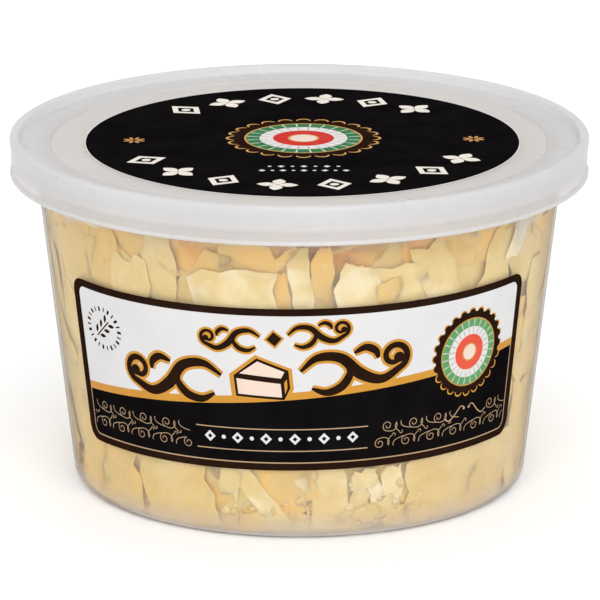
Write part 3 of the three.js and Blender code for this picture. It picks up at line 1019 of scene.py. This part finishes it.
def rosette(page, centre, radius, green, red):
    """A round pleated rosette: thin gold scalloped edge, then dark, green, white and red rings."""
    for share, size, ink in ((0.92, 0.1, GOLD_INK), (0.9, 0.085, BROWN_INK)):
        for i in range(SCALLOPS):
            a = TURN * i / SCALLOPS
            page.dot(on_circle(centre, share * radius, a), size * radius, ink, 12, a)
    for share, ink in ((0.92, BROWN_INK), (0.775, GOLD_INK), (0.75, green), (0.575, WHITE_INK),
                       (0.40, red), (0.205, GOLD_INK), (0.175, CREAM_INK)):
        page.dot(centre, share * radius, ink, 72)
    for i in range(PLEATS):
        a = TURN * (i + 0.5) / PLEATS
        for low, high, ink in ((0.59, 0.74, WHITE_INK), (0.41, 0.56, TAN_INK)):
            ends = [on_circle(centre, share * radius, a) for share in (low, high)]
            page.stroke(ends, [0.012 * radius, 0.024 * radius], ink)


def flourish(page, origin, scale, mirror, tilt, ink, grow):
    """A bold pen scroll that ends in a curl, with two leaves; grow widens it for an outline."""
    def pen(line, widths):
        page.stroke(turned(line, origin, tilt, scale, mirror), widths * scale + grow, ink)

    def blob(point, radius, corners):
        spot = turned([point], origin, tilt, scale, mirror)[0]
        page.dot(spot, radius * scale + grow / 2, ink, corners)

    stem = smooth_line([(0.6, 1.0), (3.6, 3.1), (7.4, 2.6), (10.4, -0.6), (14.0, -2.2), (17.6, -0.6)])
    pen(stem, np.interp(np.linspace(0, 1, len(stem)), [0, 0.25, 0.6, 1], [0.5, 1.5, 2.0, 1.15]))
    curl = spiral((16.4, 1.5), 0.9, 2.45, 330, -60, 26)
    pen(curl, np.linspace(0.9, 1.15, len(curl)))
    blob(stem[-1], 0.57, 14)
    blob(curl[0], 0.95, 16)
    second = smooth_line([(2.2, -2.2), (4.6, -3.2), (7.2, -2.4), (8.7, -0.3), (8.2, 1.2)])
    pen(second, swelling(len(second), 0.4, 1.5))
    third = smooth_line([(9.6, 3.2), (11.6, 3.9), (13.2, 3.0), (13.6, 1.6)])
    pen(third, swelling(len(third), 0.4, 1.3))


def cheese_wedge(page, origin, tilt, grow, ink, inner):
    """A wedge of hard cheese with its rind, drawn in a few plain shapes."""
    def paint(points, colour):
        page.fill(turned(points, origin, tilt), colour)

    outline = np.array([(-5.4, 1.2), (-5.4, -3.2), (4.2, -4.6), (5.6, -2.2), (5.6, 1.6), (-0.4, 4.6)])
    middle = outline.mean(axis=0)
    paint(middle + (outline - middle) * (1 + grow / 4.5), ink)
    if inner is None:
        return
    paint([(-4.9, 0.55), (-4.9, -2.75), (3.8, -4.0), (3.8, -1.1)], inner)
    paint([(-4.2, 1.55), (4.0, 0.05), (4.8, 1.35), (-0.3, 3.95)], inner)
    paint([(4.5, -1.0), (5.1, -0.2), (5.1, -2.0), (4.5, -3.4)], GOLD_INK)


def title_place(page, tilt, grow, ink):
    """A wedge of cheese between pen scrolls, and a smaller pair of scrolls above it."""
    centre, crown = (-6.6, 2.2), (-3.8, 10.9)
    for mirror in (1, -1):
        flourish(page, on_circle(centre, mirror * 7.2, tilt), 1.2, mirror, tilt, ink, grow)
        flourish(page, on_circle(crown, mirror * 2.3, tilt), 0.66, mirror, tilt, ink, 0.8 * grow)
    cheese_wedge(page, centre, tilt, 0.6 * grow, ink, CREAM_INK if ink is BROWN_INK else None)
    page.dot(crown, 1.5 + grow / 2, ink, 4, tilt)


def field_under(top, inset):
    """The field below a line that climbs like the stripe, all round smaller by an inset."""
    left, right, low = FIELD_LEFT + inset, FIELD_RIGHT - inset, FIELD_LOW + inset
    corner = max(FIELD_CORNER - inset, 0.5)
    points = [(x, top + STRIPE_RISE * x) for x in (right, left)]
    points += arc((left + corner, low + corner), corner, 180, 270, 8)
    points += arc((right - corner, low + corner), corner, 270, 360, 8)
    return points


def scrollwork(page):
    """Two mirrored rows of vine on either side of the ruled panel, and a pair of sweeps."""
    upper, lower = -10.0, -11.25
    vine_row(page, -45.3, 4, upper, 1, True)
    vine_row(page, -46.2, 4, lower, -1, True)
    vine_unit(page, (-46.2 + 4 * VINE_PITCH, lower), -1, sprout=False)
    vine_row(page, 19.1, 3, upper, 1)
    vine_row(page, 17.5, 6, lower, -1)
    vine_row(page, 45.4, 1, upper, 1)
    for mirror, end in ((1, 37.5), (-1, 38.9)):
        path = ((0, 2.1), (1.0, 2.3), (2.6, 0.6), (4.0, -0.2), (5.2, 0.5))
        sweep = smooth_line([(end - mirror * x, upper + y) for x, y in path])
        page.stroke(sweep, swelling(len(sweep), 0.15, 0.24), TAN_INK)
        page.dot((end, upper + 1.8), 0.3, TAN_INK, 12)


def ruled_panel(page):
    """A row of lozenges and dots between two rules."""
    for height in (-8.4, -13.05):
        page.stroke([(-20.75, height), (14.9, height)], 0.22, TAN_INK)
    for i in range(11):
        spot = (-3.0 + (i - 5) * 2.95, -10.45)
        if i % 2:
            page.dot(spot, 0.45, WHITE_INK, 12)
        else:
            page.dot(spot, 1.2, WHITE_INK, 4)
            page.dot(spot, 0.5, BLACK_INK, 4)


def stamp(page, x, y):
    """A ring of ticks about a small sprig."""
    ticks = 22
    for i in range(ticks):
        a = TURN * i / ticks
        ray = np.array([cos(a), 0.86 * sin(a)])
        page.stroke([(x, y) + 4.2 * ray, (x, y) + 5.3 * ray], 0.32 if i % 2 else 0.55, BROWN_INK)
    page.stroke([(x - 2.2, y - 1.9), (x + 1.9, y + 1.7)], 0.3, BROWN_INK)
    for t in (-1.4, 0.0, 1.4):
        for across, up, angle in ((-0.55, 1.0, 80), (1.1, -0.35, 0)):
            spot = (x + t + across, y + 0.88 * t + up)
            page.fill(leaf(spot, radians(angle), 1.9, 0.8), BROWN_INK)


def front_print():
    """Front label: dark border, white field, gold stripe, near-black field with scrollwork."""
    page = Print(rounded(LABEL_LEFT, LABEL_RIGHT, LABEL_LOW, LABEL_HIGH, LABEL_CORNER), BROWN_INK)
    for x in np.arange(-52, 53, 2.0):
        page.folds.append([(x, LABEL_LOW - 1), (x, LABEL_HIGH + 1)])
    page.fill(rounded(FIELD_LEFT, FIELD_RIGHT, FIELD_LOW, FIELD_HIGH, FIELD_CORNER), WHITE_INK)
    tilt = atan(STRIPE_RISE)
    title_place(page, tilt, TITLE_OUTLINE, GOLD_INK)
    page.fill(field_under(STRIPE_TOP, 0.0), GOLD_INK)
    page.fill(field_under(STRIPE_BOTTOM, 0.0), TAN_INK)
    page.fill(field_under(STRIPE_BOTTOM, 0.25), BLACK_INK)
    scrollwork(page)
    ruled_panel(page)
    title_place(page, tilt, 0.0, BROWN_INK)
    stamp(page, -42.9, 8.2)
    rosette(page, (37.8, 3.8), 9.3, GREEN_INK, RED_INK)
    return page


def wall_point(u, v, lift):
    """A point of the front label: u right and v up from its middle, lift off the wall."""
    x, z = turned([(u, v)], LABEL_CENTRE, LABEL_TILT)[0]
    return round_the_wall(x, z, outer_radius(z) + GLUE + lift)


def lid_ornament(page, spot, a, petals):
    """Four petals, or a lozenge with a dark inside and a dot, in line with the label's middle."""
    if petals:
        for step in range(4):
            heading = a + step * pi / 2
            page.fill(leaf(on_circle(spot, 2.15, heading), heading, 4.1, 2.7), IVORY_INK)
    else:
        for scale, ink in ((1.0, IVORY_INK), (0.58, BLACK_INK)):
            page.fill(turned([(4.4, 0), (0, 3.5), (-4.4, 0), (0, -3.5)], spot, a, scale), ink)
        page.dot(spot, 0.95, IVORY_INK, 12)


def lid_print():
    """Lid label: near-black disc with a ring of white ornaments about a rosette."""
    corners = LID_LABEL_CORNERS
    page = Print(arc((0, 0), LID_LABEL_RADIUS, 0, 360 - 360 / corners, corners - 1), WHITE_INK)
    page.dot((0, 0), LID_LABEL_RADIUS - 0.25, BLACK_INK, corners)
    # Six ornaments on the side away from the front and eight towards it, in degrees.
    places = [133.6 - 17.04 * i for i in range(6)] + [206.4 + 18.49 * i for i in range(8)]
    for i, a in enumerate(np.radians(places)):
        lid_ornament(page, on_circle((0, 0), LID_RING, a), a, i % 2)
    for centre in ((-34.3, 0.3), (34.9, 1.4)):
        for i in range(8):
            a = radians(1.0) + TURN * (i + 0.5) / 8
            ray = [on_circle(centre, reach, a) for reach in (0.55, 1.5, 2.3)]
            page.stroke(ray, [0.3, 0.75, 0.35], GOLD_INK)
    rosette(page, (0.2, 2.0), 15.6, LID_SHADED_GREEN_INK, LID_SHADED_RED_INK)
    for count, pitch, height, first in ((7, 2.3, -20.6, 1), (9, 2.1, -23.8, 0)):
        for i in range(count):
            size, corners = (0.75, 4) if i % 2 == first else (0.4, 10)
            page.dot(((i - count // 2) * pitch + 0.3, height), size, WHITE_INK, corners)
    return page


def lid_point(u, v, lift):
    return (LID_LABEL_X + u, v, PANEL_TOP + GLUE + lift)


# ---------------- the pack

tub = make_tub()
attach(tub, "root")
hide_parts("tub")

lid = make_lid()
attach(lid, "root")
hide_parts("lid")

CHEESE = cheese_material("parmesan", glow=0.5, depth=1.4, relief=0.8)
SOFT_CHEESE = cheese_material("parmesan_inner", glow=0.6, depth=1.8, relief=0.5)
cheese_pieces = [
    make_front().build("shavings_front", CHEESE),
    make_behind().build("shavings_behind", SOFT_CHEESE),
    make_sides().build("shavings_sides", CHEESE),
    make_top().build("shavings_top", CHEESE),
    make_core().build("packed_core", SOFT_CHEESE),
    make_crumbs().build("crumbs", CHEESE),
]
for piece in cheese_pieces:
    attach(piece, "root")
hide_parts("parmesan")

front_label = label_object("front_paper", front_print(), wall_point, BROWN_INK)
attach(front_label, "root")
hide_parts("front_label")

lid_label = label_object("lid_paper", lid_print(), lid_point, WHITE_INK)
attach(lid_label, "root")
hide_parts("lid_label")

# ---------------- stage, light and camera

FLOOR_REACH = 3000.0
SKY_STRENGTH = 0.96
SUN_ENERGY = 1.4
SUN_SPREAD = radians(50)
SUN_AIM = (-0.06, 0.79, -0.61)

CAMERA_DISTANCE = 1180.0
CAMERA_RISE = radians(16.29)
CAMERA_LENS = 344.4
LOOK_HEIGHT = 32.45
LOOK_LIFT = 3.97
LOOK_SIDE = 0.144


def make_floor():
    r = FLOOR_REACH
    points = [(-r, -r, 0), (r, -r, 0), (r, r, 0), (-r, r, 0)]
    floor = mesh_object("floor", points, [(0, 1, 2, 3)], [floor_material()])


def make_light():
    world = bpy.data.worlds.new("studio")
    world.use_nodes = True
    background = world.node_tree.nodes["Background"]
    background.inputs["Color"].default_value = (1, 1, 1, 1)
    background.inputs["Strength"].default_value = SKY_STRENGTH
    SCENE.world = world
    sun = bpy.data.lights.new("front_softbox", "SUN")
    sun.energy = SUN_ENERGY
    sun.angle = SUN_SPREAD
    lamp = bpy.data.objects.new("front_softbox", sun)
    lamp.rotation_euler = Vector(SUN_AIM).to_track_quat("-Z", "Y").to_euler()
    SCENE.collection.objects.link(lamp)


def make_camera():
    data = bpy.data.cameras.new("camera")
    data.lens = CAMERA_LENS
    data.sensor_width = 36.0
    data.clip_start = 0.05
    data.clip_end = 20.0
    camera = bpy.data.objects.new("camera", data)
    back, up = cos(CAMERA_RISE), sin(CAMERA_RISE)
    place = Vector((0, -CAMERA_DISTANCE * back, LOOK_HEIGHT + CAMERA_DISTANCE * up)) * MM
    aim = Vector((LOOK_SIDE, LOOK_LIFT * up, LOOK_HEIGHT + LOOK_LIFT * back)) * MM
    camera.location = place
    camera.rotation_euler = (aim - place).to_track_quat("-Z", "Y").to_euler()
    SCENE.collection.objects.link(camera)
    SCENE.camera = camera


make_floor()
make_light()
make_camera()
SCENE.view_settings.view_transform = "Standard"
SCENE.view_settings.look = "None"
